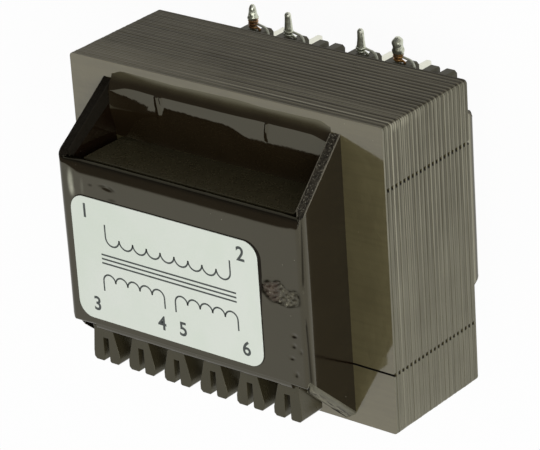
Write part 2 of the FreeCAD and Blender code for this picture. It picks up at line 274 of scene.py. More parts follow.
class Paint:
    """One material. Its patterns read the piece's own coordinates, in millimetres."""

    def __init__(self, name):
        self.material = bpy.data.materials.new(name)
        self.material.use_nodes = True
        self.tree = self.material.node_tree
        self.tree.nodes.clear()
        metres = self.node("ShaderNodeTexCoord", output="Object")
        self.place = self.node("ShaderNodeVectorMath", {"operation": "SCALE"},
                               {0: metres, "Scale": 1 / MM})
        parts = self.node("ShaderNodeSeparateXYZ", {}, {0: self.place}).socket.node.outputs
        self.x, self.y, self.z = (Value(self, part) for part in parts)

    def node(self, kind, settings=None, inputs=None, output=0):
        """Any node: its settings go in first, then the values or links of its sockets."""
        made = self.tree.nodes.new(kind)
        for key, value in (settings or {}).items():
            setattr(made, key, value)
        for key, value in (inputs or {}).items():
            if isinstance(value, Value):
                self.tree.links.new(value.socket, made.inputs[key])
            else:
                made.inputs[key].default_value = value
        return Value(self, made.outputs[output]) if made.outputs else None

    def maths(self, operation, *values):
        return self.node("ShaderNodeMath", {"operation": operation}, dict(enumerate(values)))

    def band(self, value, low, high):
        """0 below low and 1 above high, with a soft passage; low may lie above high."""
        settings = {"interpolation_type": "SMOOTHSTEP"}
        inputs = {"Value": value, "From Min": low, "From Max": high}
        return self.node("ShaderNodeMapRange", settings, inputs)

    def stretched(self, x, y, z):
        """The place with each axis scaled, for grain that runs one way."""
        return self.node("ShaderNodeVectorMath", {"operation": "MULTIPLY"},
                         {0: self.place, 1: (x, y, z)})

    def stored(self, name):
        """A number that a piece's own mesh holds at each of its points; nought without it."""
        return self.node("ShaderNodeAttribute", {"attribute_name": name}, output="Fac")

    def vector(self, x, y):
        return self.node("ShaderNodeCombineXYZ", {}, {0: x, 1: y})

    def noise(self, scale, detail=3.0, roughness=0.5, place=None):
        """Cloudy noise from about 0 to 1, with so many spots to the millimetre."""
        return self.node("ShaderNodeTexNoise", {}, {
            "Vector": place or self.place, "Scale": scale, "Detail": detail, "Roughness": roughness})

    def spots(self, scale, size, place=None):
        """1 inside small round spots that are scattered, 0 between them."""
        distance = self.node("ShaderNodeTexVoronoi", {}, {
            "Vector": place or self.place, "Scale": scale, "Randomness": 1.0}, "Distance")
        return self.band(distance, size, size * 0.5)

    def blend(self, factor, first, second):
        """A colour between two colours."""
        def colour(value):
            return value if isinstance(value, Value) else (*value, 1)
        return self.node("ShaderNodeMix", {"data_type": "RGBA"},
                         {0: factor, 6: colour(first), 7: colour(second)}, 2)

    def bump(self, height, distance, strength=1.0, under=None):
        """A normal from a height field; distance is in millimetres for a height of one."""
        inputs = {"Height": height, "Distance": distance * MM, "Strength": strength}
        if under is not None:
            inputs["Normal"] = under
        return self.node("ShaderNodeBump", {}, inputs)

    def surface(self, inputs):
        """The surface shader and the output; returns the finished material."""
        shader = self.node("ShaderNodeBsdfPrincipled", {}, inputs)
        self.node("ShaderNodeOutputMaterial", {}, {0: shader})
        return self.material


# Finishes

BOARD_BROWN = ((0.0098, 0.0062, 0.0028), (0.0142, 0.0092, 0.0042))
WALL_BROWN = (0.0120, 0.0066, 0.0034)
WALL_TOP = plate_face - core_middle - 0.8
BOARD_GLOSS = {"IOR": 1.74, "Specular Tint": (1.0, 0.975, 0.74, 1)}


def varnished_board():
    """Dark brown pressed board under varnish: nearly black brown and glossy, with dust in it.
    The walls take their own brown and a partly metallic finish, which darkens their reflections
    against the plate's as painted shade; the right wall of the lower cover is paler along its
    fold. The mesh says where the skin is torn, where dirt and painted shade lie, and where
    painted highlights lie elsewhere."""
    paint = Paint("varnished_board")
    cloud = paint.noise(0.35, 4)
    dust = paint.spots(0.9, 0.06) * paint.band(paint.noise(0.22, 2), 0.50, 0.62)
    peel = paint.noise(0.9, 2) * 0.7 + paint.noise(4.0, 2) * 0.3
    torn, dirt_and_shade, painted_highlight = (paint.stored(name) for name in ("torn", "dirt_and_shade", "painted_highlight"))
    fibre = paint.noise(2.4, 4, 0.7)
    reddish = paint.band(cloud * 0.5 + (PATCH_MIDDLE[0] - paint.x) * 0.12, 0.20, 0.34)
    frayed = paint.blend(reddish, (0.040, 0.034, 0.022), (0.032, 0.015, 0.010))
    frayed = paint.blend(paint.band(fibre, 0.46, 0.34), frayed, (0.006, 0.004, 0.003))
    frayed = paint.blend(paint.band(fibre, 0.58, 0.68) * 0.9, frayed, (0.24, 0.23, 0.17))
    # wall marks the walls: they get WALL_BROWN and metallic 0.42 below, which darkens their
    # reflections as painted shade; rim spares the right wall of the lower cover along its fold, which
    # is painted paler.
    wall = paint.band(paint.maths("ABSOLUTE", paint.z - core_middle), WALL_TOP, WALL_TOP - 0.5)
    rim = paint.band(paint.z, 2.8, 1.8) * paint.band(paint.x, 0.0, 10.0)
    skin = paint.blend(wall, paint.blend(cloud, *BOARD_BROWN), WALL_BROWN)
    skin = paint.blend(wall * rim, skin, (0.230, 0.218, 0.160))
    colour = paint.blend(torn, skin, frayed)
    # Pale spots where the left fold shows a highlight: painted highlight.
    colour = paint.blend(painted_highlight * (fibre * 0.5 + 0.6), colour, (0.34, 0.34, 0.27))
    colour = paint.blend(dust * 0.8, colour, (0.30, 0.28, 0.22))
    # Dirt and painted shade darken the colour and make it metallic, which darkens its reflections
    # too.
    return paint.surface({
        "Base Color": paint.blend(dirt_and_shade, colour, (0.010, 0.008, 0.005)),
        "Metallic": paint.maths("MAXIMUM", dirt_and_shade, wall * (1 - rim) * 0.42),
        "Roughness": paint.band(cloud, 0.2, 0.8) * 0.05 + 0.10 + dust * 0.4 + torn * 0.25,
        "Normal": paint.bump(peel + dust * 1.5 + torn * fibre * 14.0, 0.010), **BOARD_GLOSS})


def cut_board():
    """The sawn end of the board. On the open side it is dark fibre with crumbs of it and a pale
    line along either face, and on the comb side pale strands run along it. The left wall's
    open end is painted as in shade: darker and partly metallic, with its pale lines and crumbs
    nearly left out."""
    paint = Paint("cut_board")
    fibre = paint.noise(2.6, 5, 0.7)
    crumbs = paint.noise(6.0, 3, 0.65)
    height = paint.maths("ABSOLUTE", paint.z - core_middle) - (core_top - core_middle)
    up = height / (plate_face - core_top)
    face = up * COVER_SPREAD + cover_foot
    across = (face - paint.maths("ABSOLUTE", paint.x - cover_middle)) / COVER_WALL
    line = paint.band(paint.maths("ABSOLUTE", across - 0.5) + fibre * 0.10, 0.43, 0.48)
    # On the left the open end is painted darker and metallic, and its pale lines and crumbs are
    # nearly left out: painted shade.
    on_right = paint.band(paint.x, -1.0, 1.0)
    dark = paint.blend(paint.band(fibre, 0.35, 0.65), (0.008, 0.006, 0.004), (0.030, 0.025, 0.017))
    dark = paint.blend(on_right * 0.85 + 0.15, (0.006, 0.004, 0.002), dark)
    pale_lines = paint.blend(line * (on_right * 0.62 + 0.04), dark, (0.16, 0.145, 0.11))
    speck = paint.band(crumbs, 0.56, 0.66) * (on_right * 0.80 + 0.02)
    open_end = paint.blend(speck, pale_lines, (0.21, 0.195, 0.15))
    strand = paint.noise(1.0, 3, 0.65, place=paint.vector(across * 8.0, paint.z * 0.35))
    pale = paint.blend(paint.band(strand, 0.44, 0.52), (0.014, 0.012, 0.008), (0.175, 0.165, 0.120))
    pale = paint.blend(paint.band(across, 0.50, 0.35) * 0.85, pale, (0.120, 0.115, 0.082))
    return paint.surface({
        "Base Color": paint.blend(paint.band(paint.y, 1.0, -1.0), open_end, pale), "Roughness": 0.6,
        "Metallic": (1 - on_right) * paint.band(paint.y, -1.0, 1.0) * 0.5,
        "Specular IOR Level": 0.2, "Specular Tint": (1.0, 0.97, 0.82, 1),
        "Normal": paint.bump(fibre * 0.6 + crumbs * 0.4, 0.22)})


def run_varnish():
    """Varnish that has run and set: clear, brown where it is thick and thin over the steel
    at its upper rim, and smooth as glass."""
    paint = Paint("run_varnish")
    cloud = paint.noise(0.3, 3)
    thin = paint.band(paint.y + cloud * 0.5, 15.6, 17.0)
    return paint.surface({
        "Base Color": paint.blend(thin, paint.blend(cloud, *BOARD_BROWN), (0.058, 0.050, 0.027)),
        "Roughness": 0.05, "Normal": paint.bump(paint.noise(1.6, 1), 0.004), **BOARD_GLOSS})


def clouded(name, cloud, colours, roughness, grain=None, stretch=None, fixed=None):
    """A finish of two colours mixed by cloudy noise. cloud is the noise's scale and detail.
    roughness is the least value and how much the noise adds. grain is the scale, detail and
    height of the unevenness, and stretch scales its three axes."""
    paint = Paint(name)
    noise = paint.noise(*cloud)
    least, more = roughness
    inputs = {"Base Color": paint.blend(noise, *colours),
              "Roughness": noise * more + least if more else least, **(fixed or {})}
    if grain:
        scale, detail, height = grain
        place = paint.stretched(*stretch) if stretch else None
        inputs["Normal"] = paint.bump(paint.noise(scale, detail, place=place), height)
    return paint.surface(inputs)


def sheet_face():
    """The flat face of the outer sheet: olive steel under a thin glossy varnish."""
    paint = Paint("sheet_face")
    cloud = paint.noise(0.22, 4)
    roll = paint.noise(1.0, 3, place=paint.stretched(0.08, 2.2, 1.0))
    steel = paint.blend(cloud, (0.096, 0.083, 0.046), (0.132, 0.118, 0.070))
    colour = paint.blend(paint.band(roll, 0.35, 0.7) * 0.25, steel, (0.070, 0.060, 0.034))
    dust = paint.spots(0.9, 0.06) * paint.band(paint.noise(0.2, 2), 0.55, 0.65)
    wave = paint.noise(0.30, 2) * 0.8 + paint.noise(1.3, 1) * 0.2
    return paint.surface({
        "Base Color": paint.blend(dust * 0.6, colour, (0.4, 0.38, 0.3)),
        "Metallic": 0.35, "Roughness": 0.42, "Coat Weight": 1.0, "Coat Roughness": 0.07,
        "Coat IOR": 1.90, "Coat Tint": (0.97, 0.94, 0.76, 1), "Specular Tint": (1.0, 0.96, 0.80, 1),
        "Normal": paint.bump(wave, 0.20)})


def joint_level(name):
    """Where the I sheets of a node meet the legs of the E sheets, and whether they are the even
    or the odd sheets of the stack."""
    low, high = node_box(name)
    middle = low[1] - JOINT_GAP / 2 if low[1] > 0 else high[1] + JOINT_GAP / 2
    return middle, round((low[2] - core_bottom) / sheet_thickness) % 2


PALE_EDGE = (0.30, 0.285, 0.215)


def sheet_edge(name, dark, light, shine, front_highlight, pairs, gap):
    """Stamped edges of the stack: fine lines along each sheet, plainer towards the lower end, a
    dark line where two sheets meet, a slightly different tone from sheet to sheet, a pale line
    along the edge of some sheets, mostly the front ones, as painted highlight, a paler corner
    where the side meets the top as painted highlight, and a dark hole at each joint.
    front_highlight is how much paler the front sheets are painted, more so towards -X, as
    painted highlight, pairs how much every second sheet differs, and gap how wide the dark line is."""
    paint = Paint(name)
    level = (paint.z - core_bottom) / sheet_thickness
    index = paint.maths("FLOOR", level)
    inside = level - index
    tone = paint.node("ShaderNodeTexWhiteNoise", {"noise_dimensions": "1D"}, {"W": index})
    fine = paint.noise(1.0, 3, 0.6, place=paint.stretched(0.10, 0.10, 5.0))
    wide = paint.noise(0.14, 2)
    upper = paint.band(paint.y, -8.0, 12.0)
    near = paint.band(paint.z, core_top - 6.0, core_top - 1.0)
    far_left = paint.band(paint.x, 12.0, -20.0)
    # Pale lines painted along the edge of some sheets, most of all at the front: painted highlight.
    pale_lines = paint.band(inside, 0.66, 0.88) * paint.band(tone, 0.50, 0.75) * (near * 0.9 + 0.1)
    pair = paint.maths("MODULO", index, 2.0) - 0.5
    lined = upper * (paint.band(paint.x, -14.0, 12.0) * 0.85 + 0.15)
    mixed = (fine - 0.5) * (lined * 1.5 + 1.0) + (tone - 0.5) * 0.20 + (wide - 0.5) * 0.6 + 0.42
    # The front sheets are painted paler, more so towards -X: painted highlight.
    mixed = mixed + near * (far_left * 0.6 + 0.4) * front_highlight + pale_lines * 0.7 + pair * lined * pairs
    colour = paint.blend(paint.maths("MAXIMUM", mixed, 0.0), dark, light)
    colour = paint.blend(pale_lines * lined, colour, PALE_EDGE)
    # A paler corner where the side meets the top: painted highlight.
    corner = paint.band(paint.y, 16.2, 17.0) * paint.band(paint.x, 20.80, 20.95) * 0.8
    corner = corner * paint.band(paint.z, core_bottom + 3.0, core_top) * paint.band(tone, 0.1, 0.6)
    colour = paint.blend(corner * paint.band(inside, 0.2, 0.5), colour, PALE_EDGE)
    meet = paint.band(inside, gap, gap - 0.2) * (lined * (pair * 0.9 + 0.55) + 0.20)
    colour = paint.blend(meet, colour, tuple(part * 0.35 for part in dark))
    holes = 0.0
    for node in ("i_sheets_plus", "i_sheets_minus"):
        middle, parity = joint_level(node)
        matches = 1 - paint.maths("ABSOLUTE", paint.maths("MODULO", index, 2.0) - parity)
        reach = paint.maths("ABSOLUTE", paint.y - middle)
        thick = paint.maths("ABSOLUTE", inside - 0.5) * sheet_thickness
        round_hole = paint.band(paint.maths("POWER", reach * reach + thick * thick, 0.5), 0.27, 0.19)
        holes = round_hole * matches + holes
    return paint.surface({
        "Base Color": paint.blend(holes, colour, (0.006, 0.005, 0.004)), "Metallic": 0.25,
        "Roughness": 0.45 + fine * 0.2, "Specular IOR Level": shine,
        "Specular Tint": (1.0, 0.97, 0.84, 1), "Normal": paint.bump(fine, 0.03)})


def moulding():
    """Bobbin plastic: dark olive brown, satin, with faint flow marks."""
    paint = Paint("bobbin_plastic")
    cloud = paint.noise(0.5, 3)
    flow = paint.noise(1.4, 2, place=paint.stretched(1.0, 0.25, 1.0))
    colour = paint.blend(cloud, (0.021, 0.0175, 0.0085), (0.033, 0.028, 0.0145))
    return paint.surface({
        "Base Color": colour, "IOR": 1.56,
        "Roughness": 0.22 + flow * 0.12 + paint.band(paint.y, 10.0, 12.0) * 0.3,
        "Specular Tint": (1.0, 0.97, 0.74, 1),
        "Normal": paint.bump(flow * 0.6 + paint.noise(6.0, 2) * 0.4, 0.02)})


def solder():
    """Solder: pale green grey and softly lumpy, with painted shade in dark olive on the side towards
    -X.
    """
    paint = Paint("solder")
    flux = paint.band(paint.noise(1.8, 3), 0.54, 0.72)
    facing = paint.node("ShaderNodeNewGeometry", output="Normal")
    parts = paint.node("ShaderNodeSeparateXYZ", {}, {0: facing}).socket.node.outputs
    # Painted shade on the side that faces -X.
    shaded_side = paint.band(Value(paint, parts[0]), 0.15, -0.60)
    colour = paint.blend(flux * 0.5, (0.62, 0.64, 0.52), (0.24, 0.23, 0.15))
    return paint.surface({
        "Base Color": paint.blend(shaded_side * 0.85, colour, (0.085, 0.082, 0.052)),
        "Metallic": 0.9, "Roughness": 0.34 + flux * 0.2,
        "Normal": paint.bump(paint.noise(2.0, 1), 0.08)})


def enamelled_copper():
    """Copper wire under enamel, browned by flux and varnish."""
    paint = Paint("enamelled_copper")
    burnt = paint.band(paint.noise(1.1, 3), 0.40, 0.62)
    colour = paint.blend(burnt, (0.38, 0.19, 0.050), (0.170, 0.082, 0.024))
    return paint.surface({
        "Base Color": colour, "Metallic": 0.7, "Roughness": 0.35 + burnt * 0.2, "Coat Weight": 0.5,
        "Coat Roughness": 0.1, "Normal": paint.bump(paint.noise(3.0, 2), 0.04)})


def varnished_lead():
    """A lead-out wire under dark varnish, with a little copper showing, tinned near the posts."""
    paint = Paint("varnished_lead")
    bare = paint.band(paint.noise(0.9, 3), 0.60, 0.72)
    dipped = paint.band(paint.y, 13.6, 14.4)
    colour = paint.blend(bare, (0.026, 0.018, 0.009), (0.11, 0.050, 0.015))
    colour = paint.blend(dipped, colour, (0.46, 0.47, 0.38))
    return paint.surface({
        "Base Color": colour, "Metallic": 0.3, "Roughness": 0.3,
        "Normal": paint.bump(paint.noise(3.0, 2), 0.03)})


def wound_copper():
    """The wound wire seen as fine turns side by side."""
    paint = Paint("wound_copper")
    turns = paint.node("ShaderNodeTexWave", {"wave_type": "BANDS", "bands_direction": "Y"},
                       {"Vector": paint.place, "Scale": 1.1, "Distortion": 0.6})
    colour = paint.blend(turns, (0.16, 0.06, 0.02), (0.50, 0.22, 0.08))
    return paint.surface({
        "Base Color": colour, "Metallic": 0.8, "Roughness": 0.35,
        "Normal": paint.bump(turns, 0.12)})


def label_paper():
    """Coated label paper: cool off-white, faintly mottled, with a soft sheen."""
    paint = Paint("label_paper")
    mottle = paint.noise(0.18, 4)
    fine = paint.noise(2.5, 3)
    colour = paint.blend(paint.band(mottle, 0.3, 0.7), (0.685, 0.745, 0.650), (0.725, 0.765, 0.690))
    return paint.surface({
        "Base Color": paint.blend(fine * 0.10, colour, (0.56, 0.61, 0.56)), "Roughness": 0.42,
        "Normal": paint.bump(fine, 0.012)})


# The core

def rounded(corners, steps=4):
    """An outline whose corners (x, y, radius) become arcs; a radius of nothing stays a corner.
    Each arc runs between the points where it touches the two sides."""
    points = np.array([corner[:2] for corner in corners], float)
    outline = []
    for index, radius in enumerate(corner[2] for corner in corners):
        here = points[index]
        if radius == 0:
            outline.append(here[None])
            continue
        back = points[index - 1] - here
        ahead = points[(index + 1) % len(points)] - here
        back /= np.linalg.norm(back)
        ahead /= np.linalg.norm(ahead)
        middle = here + (back + ahead) * radius
        turn = np.linspace(0, np.pi / 2, steps + 1)[:, None]
        outline.append(middle - ahead * radius * np.cos(turn) - back * radius * np.sin(turn))
    return np.concatenate(outline)


def inset(outline, depth):
    """The outline with every side moved inwards by depth, corners kept on their bisectors."""
    before = outline - np.roll(outline, 1, axis=0)
    after = np.roll(outline, -1, axis=0) - outline
    inward = []
    for side in (before, after):
        unit = side / np.linalg.norm(side, axis=1)[:, None]
        inward.append(np.stack([-unit[:, 1], unit[:, 0]], axis=1))
    share = 1 + (inward[0] * inward[1]).sum(axis=1)
    return outline + (inward[0] + inward[1]) * (depth / share)[:, None]


def sheet_boxes(node):
    """The box of each sheet in a node, from its vertices: they lie on the sheet's two faces,
    and every second sheet of the stack is in the node."""
    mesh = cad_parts[node].data
    flat = np.zeros(len(mesh.vertices) * 3, np.float32)
    mesh.vertices.foreach_get("co", flat)
    points = flat.reshape(-1, 3).astype(float) / MM
    level = (points[:, 2] - points[:, 2].min()) / sheet_thickness
    index = np.floor((level + 0.5) / 2).astype(int)
    low = np.full((index.max() + 1, 3), np.inf)
    high = -low
    np.minimum.at(low, index, points)
    np.maximum.at(high, index, points)
    return low, high


def e_corners(half_width, leg_end, yoke_edge):
    """Corners of an E sheet with its yoke at +Y, anticlockwise."""
    leg = CENTRE_LEG / 2
    outer = leg + WINDOW_WIDTH
    window_end = WINDOW_HEIGHT / 2
    return [
        (half_width, leg_end, JOINT_CORNER), (half_width, yoke_edge, SHEET_CORNER),
        (-half_width, yoke_edge, SHEET_CORNER), (-half_width, leg_end, JOINT_CORNER),
        (-outer, leg_end, 0), (-outer, window_end, 0), (-leg, window_end, 0), (-leg, leg_end, 0),
        (leg, leg_end, 0), (leg, window_end, 0), (outer, window_end, 0), (outer, leg_end, 0),
    ]


def i_corners(half_width, inner, outer):
    """Corners of an I sheet on the +Y side, anticlockwise."""
    return [
        (half_width, inner, JOINT_CORNER), (half_width, outer, SHEET_CORNER),
        (-half_width, outer, SHEET_CORNER), (-half_width, inner, JOINT_CORNER),
    ]


def sheet_pack(name, node, side, corners, finish):
    """All the sheets of a node. One outline is carried up through each sheet's thickness:
    drawn in at the lower face by the rolled edge, full in the middle, and drawn in a little
    at the upper face by the burr. The outline is then moved towards each sheet's own place, by
    a share, because the varnish evens out the steps between sheets."""
    low, high = sheet_boxes(node)
    half_width = (high[:, 0] - low[:, 0]).mean() / 2
    near, far = np.abs([low[0, 1], high[0, 1]])
    inner, outer = (-far, near) if side < 0 else (-near, far)
    if corners is i_corners:
        inner = near if side > 0 else far
    outline = rounded(corners(half_width, inner, outer))
    rings = np.stack([inset(outline, depth) for depth, _ in SHEET_PROFILE])
    rings[:, :, 1] *= side
    true_outer = high[:, 1] if side > 0 else low[:, 1]
    level_outer = side * ((core_high[1] - core_low[1]) / 2 - SHEET_STAGGER)
    shift = np.stack([
        (low[:, 0] + high[:, 0]) / 2 * SHEET_SHIFT[0],
        level_outer + (true_outer - level_outer) * SHEET_SHIFT[1] - side * outer], axis=-1)
    count, size = rings.shape[:2]
    points = np.zeros((len(low), count, size, 3))
    points[..., :2] = rings + shift[:, None, None]
    heights = np.array([height for _, height in SHEET_PROFILE]) * sheet_thickness
    points[..., 2] = low[:, 2][:, None, None] + heights[None, :, None]
    one = grid_faces(count, size, close_columns=True)
    starts = np.arange(len(low)) * count * size
    quads = (one[None] + starts[:, None, None]).reshape(-1, 4)
    bottom = np.arange(size)[::-1]
    top = np.arange(size) + (count - 1) * size
    caps = [cap + start for start in starts for cap in (bottom, top)]
    paint_sides(piece(name, points, quads, caps, finish, [node], angle=50))


def paint_sides(made):
    """Faces that look along Z take the first material, along X the second, along Y the third."""
    mesh = made.data
    normals = np.zeros(len(mesh.polygons) * 3, np.float32)
    mesh.polygons.foreach_get("normal", normals)
    strength = np.abs(normals.reshape(-1, 3))
    choice = np.where(strength[:, 2] > 0.9, 0, np.where(strength[:, 0] > strength[:, 1], 1, 2))
    mesh.polygons.foreach_set("material_index", choice.astype(np.int32))


# The covers

# Marks on the upper cover, at places (x, y) on its plate rolled flat. The torn patch has half
# sizes and a slope. A spot is (x, y, half width, half height, slope, amount). A groove is (x at
# its lower end, x at its upper end, y low, y high, width, depth).
PATCH_MIDDLE = (12.90, 0.25)
PATCH_HALF = (2.50, 1.28)
PATCH_SLOPE = 0.03
DENTS = ((14.40, -4.10, 0.42, 0.26, 0.0, 0.10), (14.30, -5.30, 0.35, 0.30, 0.0, 0.09),
         (15.15, -5.75, 0.30, 0.35, 0.0, 0.07), (13.95, -6.80, 0.40, 0.24, 0.0, 0.08),
         (14.40, -8.60, 0.32, 0.38, 0.0, 0.10), (-9.90, 6.95, 1.00, 0.30, -0.12, 0.10))
# Painted shade in the lower halves of the five dents at the right, and four dark spots by the dent at
# the upper left.
DENT_SHADE_AND_DARK_SPOTS = ((14.45, -4.28, 0.34, 0.13, 0.2, 0.55), (14.30, -5.45, 0.28, 0.17, 0.0, 0.50),
           (15.20, -5.95, 0.16, 0.22, 0.0, 0.40), (14.00, -6.92, 0.36, 0.12, 0.1, 0.45),
           (14.40, -8.72, 0.22, 0.22, 0.0, 0.55), (-12.25, 6.80, 0.30, 0.15, 0.0, 0.75),
           (-10.55, 7.05, 0.55, 0.13, 0.1, 0.70), (-9.35, 6.98, 0.55, 0.17, -0.35, 0.90),
           (-9.30, 5.66, 0.55, 0.16, 0.0, 0.60))
# Pale spots painted on the left fold where it shows a highlight: painted highlight.
PAINTED_HIGHLIGHTS = ((-15.05, 6.55, 0.36, 1.45, 0.0, 0.92), (-14.85, 5.60, 0.30, 0.60, 0.0, 0.35),
        (-13.45, 6.35, 0.22, 0.95, 0.0, 0.14))
GROOVES = ((15.87, 16.18, 0.6, 9.6, 0.10, 0.05), (16.20, 15.98, -10.8, -1.4, 0.14, 0.12))
# How dark each groove is painted: shade in the groove.
GROOVE_SHADE = (0.80, 0.74)
# How dark the rounded ends of the board are painted, as shade.
EDGE_SHADE = 0.78

# Steps of the cover's surface: up a wall, round a fold, across the plate, round a lip, down the
# sawn end, and along Y outside and inside
WALL_STEPS, FOLD_STEPS, PLATE_STEPS = 34, 40, 190
LIP_STEPS, CUT_STEPS, OUTSIDE_STEPS, INSIDE_STEPS = 12, 7, 190, 16


def bent_line():
    """The outside of a cover's U section as points (x, z) and outward normals: up one wall, round
    a fold, across the plate, round the other fold and down. Straight runs are even steps, and
    each fold is an arc that touches both runs."""
    wall = np.array([COVER_SPREAD, cover_rise])
    length = np.linalg.norm(wall)
    wall /= length
    up = np.linspace(0, length - fold_setback, WALL_STEPS)[:, None]
    right_wall = np.array([cover_foot, 0.0]) + up * wall
    wall_normal = np.tile([wall[1], -wall[0]], (WALL_STEPS, 1))
    centre = np.array([cover_face - fold_setback, cover_rise - COVER_FOLD])
    angles = np.linspace(-fold_lean, np.pi / 2, FOLD_STEPS)[1:-1]
    arc_normal = np.stack([np.cos(angles), np.sin(angles)], axis=1)
    arc = centre + arc_normal * COVER_FOLD
    across = np.linspace(cover_face - fold_setback, fold_setback - cover_face, PLATE_STEPS)
    plate = np.stack([across, np.full_like(across, cover_rise)], axis=1)
    plate_normal = np.tile([0.0, 1.0], (PLATE_STEPS, 1))
    flip = np.array([-1.0, 1.0])
    points = [right_wall, arc, plate, arc[::-1] * flip, right_wall[::-1] * flip]
    normals = [wall_normal, arc_normal, plate_normal, arc_normal[::-1] * flip, wall_normal * flip]
    return np.concatenate(points), np.concatenate(normals)


def groove(points, x_low, x_high, y_low, y_high, width):
    """A narrow groove along Y, from one place to another: a bell across X that is wider at its
    lower end and fades out at both ends."""
    share = np.clip((points[..., 1] - y_low) / (y_high - y_low), 0, 1)
    off = (points[..., 0] - x_low - (x_high - x_low) * share) / (width * (1.45 - 0.9 * share))
    run = smooth_step(points[..., 1], y_low, y_low + 2.0)
    return np.exp(-off ** 2) * run * smooth_step(-points[..., 1], -y_high, 1.5 - y_high)


def spot(points, x, y, wide, high, slope):
    """How far a point lies from a sloping spot, squared: 0 at its middle and 1 at its edge."""
    across = points[..., 0] - x
    return (across / wide) ** 2 + ((points[..., 1] - y - slope * across) / high) ** 2


def torn_reach(points, seed):
    """Distance from the middle of the torn patch, 1 on its wavy outline."""
    x = points[..., 0] - PATCH_MIDDLE[0]
    y = points[..., 1] - PATCH_MIDDLE[1]
    return (np.hypot(x / PATCH_HALF[0], (y + PATCH_SLOPE * x) / PATCH_HALF[1])
            + 0.16 * ripple(points, 1.5, seed))


def marks(points, seed):
    """How far the outside of the upper cover stands off its true face, where it was hurt: in
    the patch the skin is sunk and crumpled, a sum of two ripples folded at nought, and its rim
    stands up; a dent is a bell with a low raised rim; a groove is a bell along a line."""
    reach = torn_reach(points, seed)
    crumple = np.abs(ripple(points, 0.9, seed + 1)) - 0.35 + 0.5 * ripple(points, 0.35, seed + 2)
    height = smooth_step(-reach, -1.02, -0.86) * (0.16 * crumple - 0.09)
    height = height + 0.06 * np.exp(-((reach - 1.12) / 0.12) ** 2)
    for *place, depth in DENTS:
        far = spot(points, *place)
        height = height + depth * (0.45 * far - 1) * np.exp(-far)
    for *place, depth in GROOVES:
        height = height - depth * groove(points, *place)
    return height


def stains(points, seed):
    """Shares of torn skin, of dark dirt and painted shade, and of painted highlight at each point
    of the cover: a dark rim lies unevenly round the torn patch, painted shade lies in the grooves
    and in the lower halves of the dents, and dark spots lie by the dent at the upper left."""
    reach = torn_reach(points, seed)
    torn = smooth_step(-reach, -1.0, -0.90)
    dirt_and_shade = (0.62 + 0.40 * ripple(points, 0.8, seed + 5)) * np.exp(-((reach - 0.97) / 0.10) ** 2)
    for place, darkness in zip(GROOVES, GROOVE_SHADE):
        dirt_and_shade = dirt_and_shade + darkness * groove(points, *place[:-1])
    for *place, amount in DENT_SHADE_AND_DARK_SPOTS:
        dirt_and_shade = dirt_and_shade + 0.8 * amount * np.exp(-spot(points, *place) ** 2)
    painted_highlight = sum(amount * np.exp(-spot(points, *place) ** 2) for *place, amount in PAINTED_HIGHLIGHTS)
    return {"torn": torn, "dirt_and_shade": np.clip(dirt_and_shade, 0, 1), "painted_highlight": painted_highlight}


